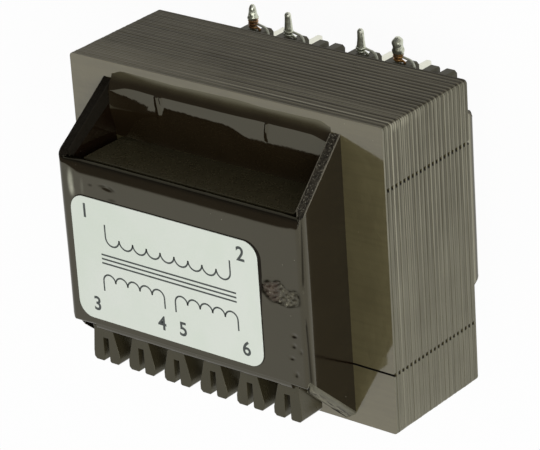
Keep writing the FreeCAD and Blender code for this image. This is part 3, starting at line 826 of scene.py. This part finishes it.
def cover_shell(name, node, seed, finish, turned=False):
    """A cover as one closed surface. The U line gives the place across the section, and a loop
    round the board's thickness gives the place along Y: both ends follow the slope of the walls
    and stand square on the plate, and the comb end of a wall leans through its thickness."""
    line, normal = bent_line()
    rise = np.clip(line[:, 1] / cover_rise, 0, 1)
    on_plate = smooth_step(normal[:, 1], 0.75, 0.97)
    rolled = along_line(line)[0]
    rolled = cover_middle + rolled[-1] / 2 - rolled
    lean = CUT_LEAN * (1 - on_plate)
    wall_comb_side = -cover_low[1] - CUT_LEAN * COVER_SPREAD / COVER_WALL
    end_open = PLATE_OPEN_SIDE + (cover_high[1] - PLATE_OPEN_SIDE) * (1 - rise)
    end_comb = -PLATE_COMB_SIDE + (PLATE_COMB_SIDE - wall_comb_side) * (1 - rise)
    end_comb += lean * (1 - (1 - rise) * COVER_SPREAD / COVER_WALL)

    arc = np.linspace(0, np.pi / 2, LIP_STEPS)
    cut = np.linspace(0.0, 1.0, CUT_STEPS)[1:-1]
    full = np.ones((len(line), 1))
    plate_end = cover_face - fold_setback
    fuller = on_plate * (1 - sum(
        taper * smooth_step(way * line[:, 0], plate_end - TAPER_REACH, plate_end)
        for way, taper in zip((-1, 1), LIP_TAPER)))
    lips = [CUT_RADIUS + (radius - CUT_RADIUS) * fuller for radius in (LIP_RADIUS, EDGE_RADIUS)]
    along, depth, end = [], [], []

    def stretch(values, depths, amount):
        along.append(values)
        depth.append(depths * full)
        end.append(np.full(values.shape, amount))

    def board_end(edge, lip, sign, drift):
        """The columns round one end: outer corner, cut face, inner corner."""
        outer_depth = lip[:, None] * (1 - np.cos(arc))
        outer_y = -lip[:, None] * (1 - np.sin(arc)) * LIP_STRETCH
        cut_depth = lip[:, None] + cut * (COVER_WALL - lip - CUT_RADIUS)[:, None]
        inner_depth = full * (COVER_WALL - CUT_RADIUS * (1 - np.sin(arc[::-1])))
        inner_y = -CUT_RADIUS * (1 - np.cos(arc[::-1])) * full
        parts = [(outer_y, outer_depth, 0.5), (0 * cut_depth, cut_depth, 1.0),
                 (inner_y, inner_depth, 0.5)]
        return [(edge[:, None] + sign * (y + drift[:, None] * d / COVER_WALL), d, amount)
                for y, d, amount in parts]

    open_parts = board_end(end_open, lips[0], 1.0, 0 * lean)
    comb_parts = board_end(end_comb, lips[1], -1.0, lean)
    face_share = np.linspace(0, 1, OUTSIDE_STEPS)[None, 1:-1]
    start, stop = comb_parts[0][0][:, :1], open_parts[0][0][:, :1]
    stretch(start + face_share * (stop - start), 0 * face_share, 0.0)
    for values, depths, amount in open_parts:
        stretch(values, depths, amount)
    start, stop = comb_parts[-1][0][:, -1:], open_parts[-1][0][:, -1:]
    inner_share = np.linspace(1, 0, INSIDE_STEPS)[None, 1:-1]
    stretch(start + inner_share * (stop - start), COVER_WALL + 0 * inner_share, 0.0)
    for values, depths, amount in comb_parts[::-1]:
        stretch(values[:, ::-1], depths[:, ::-1], amount)
    along, depth, end = (np.concatenate(part, axis=1) for part in (along, depth, end))

    outward = np.stack([normal[:, 0], 0 * normal[:, 0], normal[:, 1]], axis=-1)[:, None]
    points = np.stack([np.broadcast_to(cover_middle + line[:, None, 0], along.shape), along,
                       np.broadcast_to(core_top + line[:, None, 1], along.shape)], axis=-1)
    points = points - outward * depth[..., None]
    wave = -0.02 * (1 + ripple(points, 14.0, seed)) - 0.0015 * ripple(points, 2.5, seed + 1)
    flat = np.stack([np.broadcast_to(rolled[:, None], along.shape), along, 0 * along], axis=-1)
    outside = depth < 0.01
    if not turned:
        wave = wave + marks(flat, seed + 2)
    points += outward * (np.minimum(wave, 0) * outside)[..., None]
    ragged = 0.03 * ripple(points, 0.5, seed + 7) + 0.03 * ripple(points, 2.2, seed + 8)
    ragged = ragged + (0.04 * ripple(points, 6.0, seed + 9) - 0.9 * ragged) * on_plate[:, None]
    points[..., 1] += (ragged - 0.05) * end * np.sign(points[..., 1])
    if turned:
        points = points * [1, -1, -1] + [0, 0, 2 * core_middle]
    made = bar(name, points, finish, [node], angle=60)
    is_cut = np.tile(end.max(axis=0) > 0.4, len(line) - 1)
    on_wall = np.repeat(on_plate[:-1] < 0.5, along.shape[1])
    choice = np.zeros(len(made.data.polygons), np.int32)
    choice[:len(is_cut)] = is_cut & on_wall
    made.data.polygons.foreach_set("material_index", choice)
    if not turned:
        for name, share in stains(flat, seed + 2).items():
            share = share * outside
            if name == "dirt_and_shade":
                # Along the rounded ends of the board the dark share is raised as painted shade.
                on_edge = smooth_step(depth / lips[0][:, None], 0.25, 0.70) * (end > 0)
                share = np.maximum(share, EDGE_SHADE * on_edge)
            stored = made.data.attributes.new(name, "FLOAT", "POINT")
            stored.data.foreach_set("value", share.ravel())
    return made


# The label

def label_sheet(finish):
    """The paper: an outline with round corners, carried up and drawn in a little at the top."""
    x0, y0 = label_low[:2]
    x1, y1 = label_high[:2]
    top = label_high[2] - LABEL_TOP_GAP
    outline = rounded([(x, y, LABEL_CORNER) for x, y in ((x0, y0), (x1, y0), (x1, y1), (x0, y1))], 10)
    rings = at_heights([outline, outline, inset(outline, LABEL_EDGE)],
                       [plate_face, top - LABEL_EDGE, top])
    return bar("label_sheet", rings, finish, ["label"], angle=30)


def label_rim(finish):
    """The painted shadow round the label: a dark flat ring, widest at the upper part of its right
    side.
    """
    x0, y0 = label_low[:2]
    x1, y1 = label_high[:2]
    corners = [(x0, y0, LABEL_CORNER), (x1, y0, LABEL_CORNER), (x1, RIM_NARROW, 0), (x1, 0, 0),
               (x1, RIM_WIDE, 0), (x1, y1, LABEL_CORNER), (x0, y1, LABEL_CORNER)]
    inner = rounded(corners, 10)
    left, right, below, above = LABEL_RIM
    middle = np.array([x0 + x1, y0 + y1]) / 2
    off = (inner - middle) / np.array([x1 - x0, y1 - y0]) * 2
    off = np.sign(off) * np.abs(off) ** 6
    fuller = 0.3 + 0.7 * smooth_step(inner[:, 1], RIM_NARROW, RIM_WIDE)
    outer = inner + np.stack([np.where(off[:, 0] > 0, right * fuller, left) * off[:, 0],
                              np.where(off[:, 1] > 0, above, below) * off[:, 1]], axis=1)
    inner = inner + (middle - inner) * 0.01
    heights = plate_face + np.array([-0.06, 0.006, 0.012, -0.06])
    rings = at_heights([outer, outer, inner, inner], heights)
    quads = grid_faces(4, len(inner), close_rows=True, close_columns=True)
    return piece("label_rim", rings, quads, [], finish, smooth=False)


def ribbon(path, width):
    """A flat strip along a line of points: each point is set off by half the width to each side."""
    step = along_line(path)[1]
    side = np.stack([-step[:, 1], step[:, 0]], axis=1) * width / 2
    return np.concatenate([path - side, (path + side)[::-1]])


def numeral(number, place, finish):
    """One printed number, from the plain built-in letters, flat on the label."""
    name = f"numeral_{number}"
    curve = bpy.data.curves.new(name, "FONT")
    curve.body = str(number)
    curve.size = NUMERAL_SIZE * MM
    curve.align_x = "CENTER"
    curve.align_y = "CENTER"
    curve.extrude = PRINT_THICKNESS / 2 * MM
    curve.offset = NUMERAL_WEIGHT * MM
    drawn = placed(name, curve)
    bpy.context.view_layer.update()
    mesh = bpy.data.meshes.new_from_object(drawn)
    bpy.data.objects.remove(drawn)
    height = label_high[2] - LABEL_TOP_GAP + PRINT_THICKNESS / 2
    mesh.transform(Matrix.Translation(Vector((*place, height)) * MM))
    mesh.materials.clear()
    return settle(name, mesh, finish, smooth=False)


def winding_signs(finish):
    """Plain winding signs: rows of half turns for the coils, and three lines for the core."""
    angle = np.linspace(0, np.pi, 13)
    paths = [np.column_stack([centre - radius * np.cos(angle), y + way * radius * np.sin(angle)])
             for start, turns, radius, y, way in COILS
             for centre in start + radius * (2 * np.arange(turns) + 1)]
    paths += [np.array([(x, y) for x in CORE_LINE_X]) for y in CORE_LINES]
    paths += [np.array([(x, near), (x, tip)]) for places, near, tip in COIL_ENDS for x in places]
    base = label_high[2] - LABEL_TOP_GAP
    points, quads, caps, start = [], [], [], 0
    for outline in (ribbon(path, SIGN_STROKE) for path in paths):
        size = len(outline)
        points.append(at_heights([outline, outline], [base, base + PRINT_THICKNESS]).reshape(-1, 3))
        quads.append(grid_faces(2, size, close_columns=True) + start)
        caps += [np.arange(size)[::-1] + start, np.arange(size) + size + start]
        start += 2 * size
    return piece("winding_signs", np.concatenate(points), np.concatenate(quads), caps, finish,
                 smooth=False)


# Bobbin and terminals

def bobbin_moulding(finish):
    """The bobbin's own mesh, merged and with its edges rounded."""
    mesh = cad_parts["bobbin"].data.copy()
    mesh.materials.clear()
    work = bmesh.new()
    work.from_mesh(mesh)
    bmesh.ops.remove_doubles(work, verts=work.verts, dist=0.002 * MM)
    bmesh.ops.dissolve_limit(work, angle_limit=np.radians(1.0), verts=work.verts, edges=work.edges)
    work.to_mesh(mesh)
    work.free()
    made = settle("bobbin_moulding", mesh, finish, ["bobbin"], angle=30)
    bevel = made.modifiers.new("rounded edges", "BEVEL")
    bevel.width = BOBBIN_ROUNDING * MM
    bevel.segments = 2
    bevel.limit_method = "ANGLE"
    bevel.angle_limit = np.radians(25)
    bevel.harden_normals = False
    return made


def tube(path, across, up, width, depth, sides, power):
    """A rounded bar along a path. Round each point lies a ring |a|^p + |b|^p = 1 (p is the
    power: 2 is round, more is squarer), scaled by the width across and the depth up there."""
    angle = np.linspace(0, 2 * np.pi, sides, endpoint=False)
    a = np.sign(np.cos(angle)) * np.abs(np.cos(angle)) ** (2 / power)
    b = np.sign(np.sin(angle)) * np.abs(np.sin(angle)) ** (2 / power)
    return (path[:, None] + across[:, None] * (a[None, :, None] * width[:, None, None])
            + up[:, None] * (b[None, :, None] * depth[:, None, None]))


def strip_path():
    """The middle line of a terminal in Y and Z: up the board pin, round the bend and along the
    wiring post."""
    pin = [(PIN_ROW, z) for z in np.linspace(PIN_TIP, POST_HEIGHT - POST_BEND, 26)]
    arc = [(PIN_ROW + POST_BEND * (1 - np.cos(turn)), POST_HEIGHT - POST_BEND * (1 - np.sin(turn)))
           for turn in np.linspace(0, np.pi / 2, 11)[1:-1]]
    post = [(y, POST_HEIGHT) for y in np.linspace(PIN_ROW + POST_BEND, POST_END, 26)]
    return np.array(pin + arc + post)


def end_taper(distance, reach, least):
    """A round tip: the height of a quarter circle that is reach long, and at least least."""
    return np.sqrt(np.clip(1 - (1 - np.clip(distance / reach, 0, 1)) ** 2, least, 1))


def terminal(name, node, centre, side, kink, seed, finish):
    """A terminal: a rounded strip along the bent line, tapered at both tips, with the soft
    dents of the tin. kink pushes the post sideways near its middle, as in a bent one."""
    line = strip_path()
    length, step = along_line(line)
    on_post = smooth_step(line[:, 0], PIN_ROW + 0.3, PIN_ROW + 1.2)
    taper = end_taper(length, 0.45, 0.06) * end_taper(length[-1] - length, 0.35, 0.05)
    push = kink * np.exp(-((line[:, 0] - 15.9) / 0.55) ** 2) * on_post
    path = np.column_stack([centre + push, line])
    soft = 1 + 0.05 * ripple(path, 1.3, seed)
    width = (0.35 - 0.02 * on_post) * taper * soft
    depth = (0.44 - 0.15 * on_post) * taper * soft
    across = np.tile([1.0, 0, 0], (len(line), 1))
    up = np.column_stack([0 * length, -step[:, 1], step[:, 0]])
    rings = tube(path, across, up, width, depth, 20, 4.0) * [1, side, 1]
    return bar(name, rings, finish, [node], angle=60)


def bead(name, centre, side, profile, lumps, seed, finish, replaces=()):
    """Solder on a post: a profile (place along Y, radius) turned round the post, its radius
    made uneven by ripples."""
    place, radius = np.array(profile, float).T
    share = np.linspace(0, 1, 44)
    spots = np.linspace(0, 1, len(place))
    y, radius = (np.interp(share, spots, values) for values in (place, radius))
    radius[2:-2] = np.convolve(radius, np.ones(5) / 5, "same")[2:-2]
    angle = np.linspace(0, 2 * np.pi, 28, endpoint=False)
    ring = np.stack([np.cos(angle), 0 * angle, np.sin(angle)], axis=1)
    path = np.column_stack([np.full(len(y), centre), y, np.full(len(y), POST_HEIGHT)])[:, None]
    off = ring[None] * radius[:, None, None]
    rings = path + off * (1 + lumps * ripple(path + off, 0.8, seed))[..., None]
    return bar(name, rings * [1, side, 1], finish, replaces, angle=70)


def wire_coil(name, centre, side, turns, seed, finish, replaces=()):
    """Wire wound round a post: a helix whose place is the turn angle, with a tail that leaves
    sideways to the lead, and a round section carried along it."""
    turn = np.linspace(0, 2 * np.pi * turns, int(26 * turns))
    middle = np.column_stack([
        centre + COIL_RADIUS * np.cos(turn) * (1 + 0.05 * np.sin(turn * 0.37 + seed)),
        TOOTH_TIP + 0.30 + COIL_PITCH * turn / (2 * np.pi),
        POST_HEIGHT + COIL_RADIUS * np.sin(turn)])
    tail = np.linspace(1, 0, 9)[:-1, None]
    middle = np.concatenate([middle[0] + tail * COIL_TAIL, middle])
    step = along_line(middle)[1]
    across = np.cross(step, [0, 1.0, 0])
    across /= np.linalg.norm(across, axis=1)[:, None]
    size = np.full(len(middle), WIRE_RADIUS)
    rings = tube(middle, across, np.cross(across, step), size, size, 10, 2.0) * [1, side, 1]
    return bar(name, rings, finish, replaces, angle=70)


# Varnish that has run

# Places along Y: where it starts to rise, its crest and its edge. Heights: in the recess, at the
# crest, and up the left wall. A drip is (x, y of its tip, half width, height).
RISE_START = 9.5
POOL_CREST = 15.0
POOL_EDGE = 16.65
POOL_DEPTH = 0.06
CREST_HEIGHT = 0.35
POOL_CLIMB = 0.42
POOL_DRIPS = ((-8.55, 11.7, 0.20, 0.13), (-8.05, 13.6, 0.16, 0.10), (6.2, 12.9, 0.15, 0.16))


def closed_film(name, top, bottom, finish):
    """A film between two grids of points, closed along its border."""
    rows, columns = top.shape[:2]
    first = grid_faces(rows, columns)
    second = first[:, ::-1] + rows * columns
    border = np.concatenate([
        np.arange(columns), np.arange(1, rows) * columns + columns - 1,
        (rows - 1) * columns + np.arange(columns - 2, -1, -1), np.arange(rows - 2, 0, -1) * columns])
    ahead = np.roll(border, -1)
    rim = np.stack([border, border + rows * columns, ahead + rows * columns, ahead], axis=1)
    points = np.concatenate([top.reshape(-1, 3), bottom.reshape(-1, 3)])
    quads = np.concatenate([first, second, rim])
    return piece(name, points, quads, [], finish, angle=75)


def varnish_pool(finish):
    """Varnish left in the recess on the core's face. Its thickness is a function of the place:
    level in the recess, a crest near its upper edge, and beyond it a hollow slope that runs out
    on the steel as a power of the distance to the edge. It climbs the left wall, dying away from
    it, and drips hang down from the crest."""
    low = cover_middle - inner_foot - 0.02
    high = cover_middle + inner_foot + 0.02
    across = np.linspace(low, high, 300)
    floor = PLATE_OPEN_SIDE + 0.02
    share = np.concatenate([np.linspace(0, 0.55, 40)[:-1], np.linspace(0.55, 1, 110)])
    x, share = np.meshgrid(across, share, indexing="ij")
    near_wall = smooth_step(low + 2.4 - x, 0, 2.4) + smooth_step(x - high + 2.4, 0, 2.4)
    edge = POOL_EDGE + 0.10 * ripple_along(x, 7.0, 41) - 0.45 * near_wall ** 3
    crest = POOL_CREST + 0.10 * ripple_along(x, 5.0, 42) - 0.45 * near_wall
    y = floor + share * (edge - floor)
    place = np.stack([x, y, x * 0], axis=-1)
    slope = np.clip((edge - y) / (edge - crest), 0, 1)
    hill = CREST_HEIGHT * slope ** 1.6
    rise_end = 12.6 + 2.0 * smooth_step(-x, -4.5, 0.5) * smooth_step(x, -8.7, -7.7)
    rise = smooth_step((y - RISE_START) / (rise_end - RISE_START), 0, 1)
    level = POOL_DEPTH + (CREST_HEIGHT - POOL_DEPTH) * rise + 0.02 * ripple(place, 9.0, 43)
    blend = smooth_step(y, crest - 0.10, crest + 0.06)
    height = level * (1 - blend) + hill * blend
    climb = POOL_CLIMB * np.exp(-(x - low) / 1.7) * smooth_step(y, RISE_START, 12.5)
    height = height + climb * np.clip((edge - y) / 1.2, 0, 1)
    for middle, tip, wide, tall in POOL_DRIPS:
        line = middle + 0.12 * np.sin(y * 1.3 + middle)
        lie = np.exp(-((x - line) / wide) ** 2)
        lie = lie * smooth_step(y, tip, tip + 1.4) * smooth_step(-y, -crest - 0.2, 0.15 - crest)
        height = height + tall * lie
    height = height + 0.05 * np.exp(-(y - floor) / 0.2)
    top = np.stack([x, y, core_top + 0.003 + np.maximum(height, 0)], axis=-1)
    bottom = np.stack([x, y, np.full_like(x, core_top - 0.01)], axis=-1)
    return closed_film("varnish_pool", top, bottom, finish)


def edge_varnish(finish):
    """Varnish that bridges the plate's lower edge and the comb's rail: its section is a quarter
    of an ellipse from the plate down to the rail, carried along X."""
    across = np.linspace(-13.3, 13.6, 160)
    turn = np.linspace(0, np.pi / 2, 9)
    x, angle = np.meshgrid(across, turn, indexing="ij")
    sag = 0.03 * ripple_along(x, 4.0, 51)
    y = -PLATE_COMB_SIDE + EDGE_RADIUS * 0.8 - (0.72 + sag) * np.sin(angle)
    z = comb_face + 0.01 + (plate_face - comb_face - 0.05) * np.cos(angle)
    top = np.stack([x, y, z], axis=-1)
    bottom = np.stack([x, y, z - 0.35], axis=-1)
    return closed_film("edge_varnish", top, bottom, finish)


# Putting the object together

board = varnished_board()
cut = cut_board()
# The edges that face along Y take a darker, less shiny copy of the side edges' finish, as painted
# shade.
core_finish = [
    sheet_face(),
    sheet_edge("sheet_edge_side", (0.088, 0.082, 0.057), (0.205, 0.196, 0.145),
               shine=0.35, front_highlight=0.15, pairs=0.60, gap=0.44),
    sheet_edge("sheet_edge_top_shaded", (0.032, 0.027, 0.017), (0.125, 0.113, 0.081),
               shine=0.18, front_highlight=0.55, pairs=1.00, gap=0.38)]
tin = clouded("tinned_steel", (1.6, 3), ((0.72, 0.72, 0.60), (0.86, 0.86, 0.76)), (0.26, 0.2),
              grain=(1.8, 2, 0.05), fixed={"Metallic": 1.0})
print_ink = clouded("label_ink", (4.0, 3), ((0.030, 0.037, 0.034), (0.075, 0.086, 0.080)), (0.5, 0),
                    grain=(4.0, 3, 0.004))
# A dark, dull finish for the ring painted round the label as its shadow.
label_shadow_finish = clouded("label_shadow_line", (1.5, 3), ((0.008, 0.006, 0.004), (0.018, 0.015, 0.010)), (0.7, 0),
               fixed={"Specular IOR Level": 0.10})
tape = clouded("insulating_tape", (0.6, 3), ((0.050, 0.030, 0.012), (0.085, 0.052, 0.022)),
               (0.22, 0.1), grain=(1.0, 2, 0.10), stretch=(0.3, 3.0, 0.3))
solder_metal = solder()
copper = enamelled_copper()
lead = varnished_lead()
wound = wound_copper()

sheet_pack("e_sheets_plus_edges", "e_sheets_yoke_plus", 1, e_corners, core_finish)
sheet_pack("e_sheets_minus_edges", "e_sheets_yoke_minus", -1, e_corners, core_finish)
sheet_pack("i_sheets_minus_edges", "i_sheets_minus", -1, i_corners, core_finish)
sheet_pack("i_sheets_plus_edges", "i_sheets_plus", 1, i_corners, core_finish)

cover_shell("upper_cover_board", "upper_cover", 11, [board, cut])
cover_shell("lower_cover_board", "lower_cover", 23, [board, cut], turned=True)
label_sheet(label_paper())
label_rim(label_shadow_finish)
varnish_pool(run_varnish())
edge_varnish(board)
for number, place in enumerate(NUMERAL_PLACES, start=1):
    numeral(number, place, print_ink)
winding_signs(print_ink)
bobbin_moulding(moulding())

# Profiles of the solder on a post, as (place along Y, radius)
THIN = ((14.9, 0.30), (15.2, 0.50), (15.7, 0.46), (16.2, 0.40), (16.8, 0.38), (17.2, 0.36),
        (17.45, 0.2))
BENT = ((15.5, 0.30), (15.7, 0.52), (15.95, 0.66), (16.2, 0.55), (16.7, 0.44), (17.1, 0.40),
        (17.46, 0.2))
FULL = ((15.2, 0.32), (15.5, 0.60), (15.9, 0.68), (16.3, 0.60), (16.7, 0.66), (17.1, 0.56),
        (17.46, 0.26))

# Each terminal: its row and number, its middle along X, the side along Y, its kink, the profile
# and lumps of its solder, the finish of its wire and the number of turns, and its three seeds
TERMINALS = (
    ("secondary", 1, -12.5, 1, -0.28, BENT, 0.06, copper, 3.4, (1, 61, 1)),
    ("secondary", 2, -7.5, 1, 0.02, THIN, 0.03, solder_metal, 1.6, (2, 62, 2)),
    ("secondary", 3, 2.5, 1, -0.03, THIN, 0.03, solder_metal, 1.6, (3, 63, 3)),
    ("secondary", 4, 7.5, 1, -0.06, FULL, 0.10, copper, 2.4, (4, 64, 4)),
    ("primary", 1, -12.5, -1, 0.0, THIN, 0.07, copper, 2.6, (11, 71, 8)),
    ("primary", 2, 7.5, -1, 0.0, THIN, 0.07, copper, 2.6, (12, 72, 9)),
)
for row, number, centre, side, kink, *_, seeds in TERMINALS:
    terminal(f"{row}_strip_{number}", f"{row}_terminal_{number}", centre, side, kink, seeds[0], tin)
replaced = ["solder_beads"]
for row, number, centre, side, _, profile, lumps, *_, seeds in TERMINALS:
    bead(f"solder_{row}_{number}", centre, side, profile, lumps, seeds[1], solder_metal, replaced)
    replaced = []
replaced = ["wire_turns"]
for row, number, centre, side, *_, finish, turns, seeds in TERMINALS:
    wire_coil(f"wire_turns_{row}_{number}", centre, side, turns, seeds[2], finish, replaced)
    replaced = []

NODE_FINISH = (
    (wound, ("primary_winding", "secondary_winding_1", "secondary_winding_2")),
    (tape, ("primary_wrap", "secondary_wrap", "secondary_layer_tape")),
    (lead, ("secondary_leads", "primary_leads")),
)
for material, names in NODE_FINISH:
    for name in names:
        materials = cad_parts[name].data.materials
        materials.clear()
        materials.append(material)


# Floor, light and camera

FLOOR_SIZE = 8000.0
ROOM_LIGHT = 0.60
DIM_SIDE = 0.10
DIM_FROM = -0.30
DIM_TO = -0.06
DIM_FLOOR = (15.0, 60.0)


def floor_material():
    """A pale floor: white to the camera and in reflections, with a faint shadow, and plain
    matt white to all other light. Reflections dim on the side towards +Y, as the room does."""
    paint = Paint("pale_floor")
    path = paint.node("ShaderNodeLightPath")
    outputs = path.socket.node.outputs
    seen = Value(paint, outputs["Is Camera Ray"])
    bright = 1 - paint.band(paint.y, *DIM_FLOOR) * (1 - DIM_SIDE)
    seen = paint.maths("MAXIMUM", seen, Value(paint, outputs["Is Transmission Ray"]))
    seen = paint.maths("MAXIMUM", seen, Value(paint, outputs["Is Glossy Ray"]) * bright)
    matt = paint.node("ShaderNodeBsdfDiffuse", {}, {"Color": (0.85, 0.85, 0.85, 1)})
    white = paint.node("ShaderNodeEmission", {}, {"Color": (1, 1, 1, 1), "Strength": 1.0})
    mixed = paint.node("ShaderNodeMixShader", {}, {0: seen * 0.955, 1: matt, 2: white})
    paint.node("ShaderNodeOutputMaterial", {}, {0: mixed})
    return paint.material


half = FLOOR_SIZE / 2
floor_height = PIN_TIP - 0.02
corners = [(-half, -half), (half, -half), (half, half), (-half, half)]
floor_mesh = bpy.data.meshes.new("floor")
floor_mesh.from_pydata([Vector((x, y, floor_height)) * MM for x, y in corners], [], [(0, 1, 2, 3)])
floor_mesh.materials.append(floor_material())
placed("floor", floor_mesh)


class WorldPaint(Paint):
    """The surroundings, with the same helpers as a material."""

    def __init__(self, name):
        self.world = bpy.data.worlds.new(name)
        self.world.use_nodes = True
        self.tree = self.world.node_tree
        self.tree.nodes.clear()


def set_world():
    """Plain studio surroundings: white to the camera, plain and dimmer as light, and in gloss
    a white room that is open to a dim one on the side towards +Y."""
    paint = WorldPaint("studio")
    path = paint.node("ShaderNodeLightPath").socket.node.outputs
    camera_ray = Value(paint, path["Is Camera Ray"])
    glossy_ray = Value(paint, path["Is Glossy Ray"])
    direction = paint.node("ShaderNodeTexCoord", output="Generated")
    parts = paint.node("ShaderNodeSeparateXYZ", {}, {0: direction}).socket.node.outputs
    bright = 1 - paint.band(Value(paint, parts[1]), DIM_FROM, DIM_TO) * (1 - DIM_SIDE)
    room = glossy_ray * (bright - ROOM_LIGHT) + ROOM_LIGHT
    strength = paint.maths("MAXIMUM", camera_ray, room)
    light = paint.node("ShaderNodeBackground", {}, {"Strength": strength})
    paint.node("ShaderNodeOutputWorld", {}, {0: light})
    bpy.context.scene.world = paint.world


def area_light(name, direction, distance, size, power):
    """A square soft lamp that looks at the middle of the object from a direction."""
    data = bpy.data.lights.new(name, "AREA")
    data.shape = "SQUARE"
    data.size = size * MM
    data.energy = power
    lamp = placed(name, data)
    toward = Vector(direction).normalized()
    middle = Vector((0, 0, core_middle * MM))
    lamp.location = middle + toward * distance * MM
    lamp.rotation_mode = "QUATERNION"
    lamp.rotation_quaternion = toward.to_track_quat("Z", "Y")


set_world()
area_light("key", (0.75, 0.10, 0.75), 700, 600, 3.9)

CAMERA_PLACE = (198.583, 141.142, 253.924)
CAMERA_RIGHT = (0.78380, -0.06146, -0.61797)
CAMERA_UP = (-0.21450, 0.90700, -0.36230)
CAMERA_LENS = 210.39
CAMERA_SENSOR = 36.0

camera_data = bpy.data.cameras.new("camera")
camera_data.lens = CAMERA_LENS
camera_data.sensor_width = CAMERA_SENSOR
camera_data.clip_start = 0.01
camera_data.clip_end = 10
camera = placed("camera", camera_data)
right = Vector(CAMERA_RIGHT).normalized()
back = right.cross(Vector(CAMERA_UP)).normalized()
up = back.cross(right)
turn = Matrix((right, up, back)).transposed().to_4x4()
camera.matrix_world = Matrix.Translation(Vector(CAMERA_PLACE) * MM) @ turn
bpy.context.scene.camera = camera
bpy.context.scene.view_settings.view_transform = "Standard"
